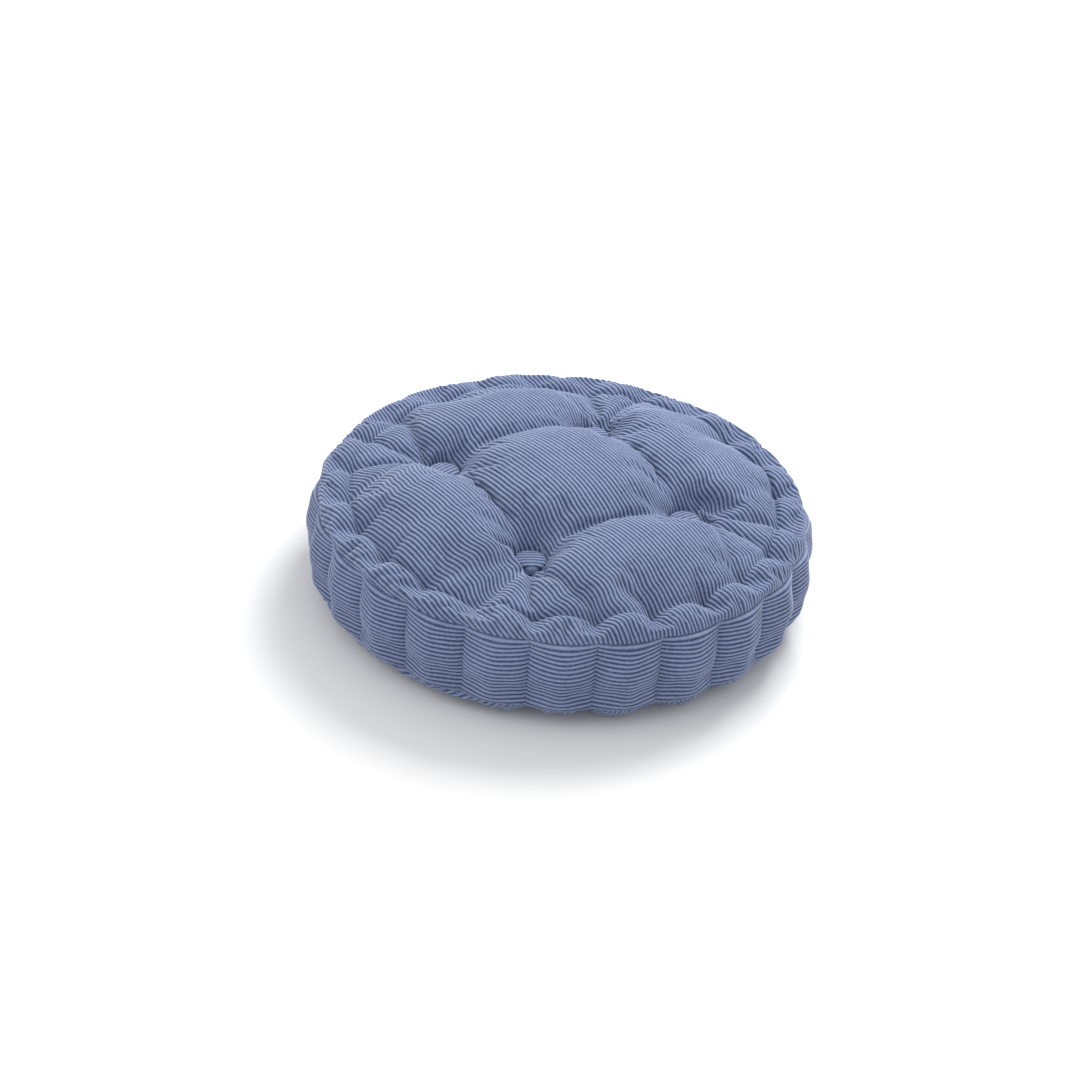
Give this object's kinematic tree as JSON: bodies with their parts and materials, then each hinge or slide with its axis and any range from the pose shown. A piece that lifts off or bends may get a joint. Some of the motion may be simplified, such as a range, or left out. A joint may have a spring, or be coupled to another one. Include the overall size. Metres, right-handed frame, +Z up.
{
  "type": "seat cushion",
  "caption": "Round tufted corduroy seat cushion with a boxed side band, a domed crown, covered buttons and scalloped stitched edges.",
  "frame": {"origin": "centre of the cushion's underside, on the surface it lies on", "axes": "+Z up out of the sitting face; +X and +Y along the sides of the square of buttons, with the ribs of the top face along Y"},
  "size_m": [0.45, 0.45, 0.132],
  "materials": {
    "corduroy": "matte",
    "button_corduroy": "matte",
    "polyester_fibre": "matte",
    "sewing_thread": "matte",
    "tie_thread": "matte",
    "waxed_twine": "satin",
    "button_steel": "satin",
    "wire_steel": "satin"
  },
  "bodies": {
    "cushion_base": {"fibre_filling": "polyester_fibre", "bottom_panel": "corduroy", "side_band": "corduroy", "bottom_seam_thread": "sewing_thread", "band_join_thread": "sewing_thread", "bottom_edge_ties": "tie_thread", "tufting_twine_1": "waxed_twine", "tufting_twine_2": "waxed_twine", "tufting_twine_3": "waxed_twine", "tufting_twine_4": "waxed_twine"},
    "sitting_face": {"top_panel": "corduroy", "top_seam_thread": "sewing_thread", "top_edge_ties": "tie_thread"},
    "top_button_1": {"top_button_1_cover": "button_corduroy", "top_button_1_shell": "button_steel", "top_button_1_back": "button_steel", "top_button_1_loop": "wire_steel"},
    "top_button_2": {"top_button_2_cover": "button_corduroy", "top_button_2_shell": "button_steel", "top_button_2_back": "button_steel", "top_button_2_loop": "wire_steel"},
    "top_button_3": {"top_button_3_cover": "button_corduroy", "top_button_3_shell": "button_steel", "top_button_3_back": "button_steel", "top_button_3_loop": "wire_steel"},
    "top_button_4": {"top_button_4_cover": "button_corduroy", "top_button_4_shell": "button_steel", "top_button_4_back": "button_steel", "top_button_4_loop": "wire_steel"},
    "bottom_button_1": {"bottom_button_1_cover": "button_corduroy", "bottom_button_1_shell": "button_steel", "bottom_button_1_back": "button_steel", "bottom_button_1_loop": "wire_steel"},
    "bottom_button_2": {"bottom_button_2_cover": "button_corduroy", "bottom_button_2_shell": "button_steel", "bottom_button_2_back": "button_steel", "bottom_button_2_loop": "wire_steel"},
    "bottom_button_3": {"bottom_button_3_cover": "button_corduroy", "bottom_button_3_shell": "button_steel", "bottom_button_3_back": "button_steel", "bottom_button_3_loop": "wire_steel"},
    "bottom_button_4": {"bottom_button_4_cover": "button_corduroy", "bottom_button_4_shell": "button_steel", "bottom_button_4_back": "button_steel", "bottom_button_4_loop": "wire_steel"}
  },
  "joints": [
    {"name": "pad_compression", "type": "slide", "parent": "cushion_base", "child": "sitting_face", "axis": [0, 0, 1], "range_m": [-0.035, 0], "stiffness_N_per_m": 9000, "deforming": ["fibre_filling", "side_band", "band_join_thread", "tufting_twine_1", "tufting_twine_2", "tufting_twine_3", "tufting_twine_4"]},
    {"name": "top_button_1_swivel", "type": "hinge", "parent": "sitting_face", "child": "top_button_1", "pos_m": [-0.0785, -0.0785, 0.0883], "axis": [0, 0, 1], "range_deg": [-45, 45]},
    {"name": "top_button_2_swivel", "type": "hinge", "parent": "sitting_face", "child": "top_button_2", "pos_m": [0.0785, -0.0785, 0.0883], "axis": [0, 0, 1], "range_deg": [-45, 45]},
    {"name": "top_button_3_swivel", "type": "hinge", "parent": "sitting_face", "child": "top_button_3", "pos_m": [0.0785, 0.0785, 0.0883], "axis": [0, 0, 1], "range_deg": [-45, 45]},
    {"name": "top_button_4_swivel", "type": "hinge", "parent": "sitting_face", "child": "top_button_4", "pos_m": [-0.0785, 0.0785, 0.0883], "axis": [0, 0, 1], "range_deg": [-45, 45]},
    {"name": "bottom_button_1_swivel", "type": "hinge", "parent": "cushion_base", "child": "bottom_button_1", "pos_m": [-0.0785, -0.0785, 0.0137], "axis": [0, 0, 1], "range_deg": [-45, 45]},
    {"name": "bottom_button_2_swivel", "type": "hinge", "parent": "cushion_base", "child": "bottom_button_2", "pos_m": [0.0785, -0.0785, 0.0137], "axis": [0, 0, 1], "range_deg": [-45, 45]},
    {"name": "bottom_button_3_swivel", "type": "hinge", "parent": "cushion_base", "child": "bottom_button_3", "pos_m": [0.0785, 0.0785, 0.0137], "axis": [0, 0, 1], "range_deg": [-45, 45]},
    {"name": "bottom_button_4_swivel", "type": "hinge", "parent": "cushion_base", "child": "bottom_button_4", "pos_m": [-0.0785, 0.0785, 0.0137], "axis": [0, 0, 1], "range_deg": [-45, 45]}
  ]
}
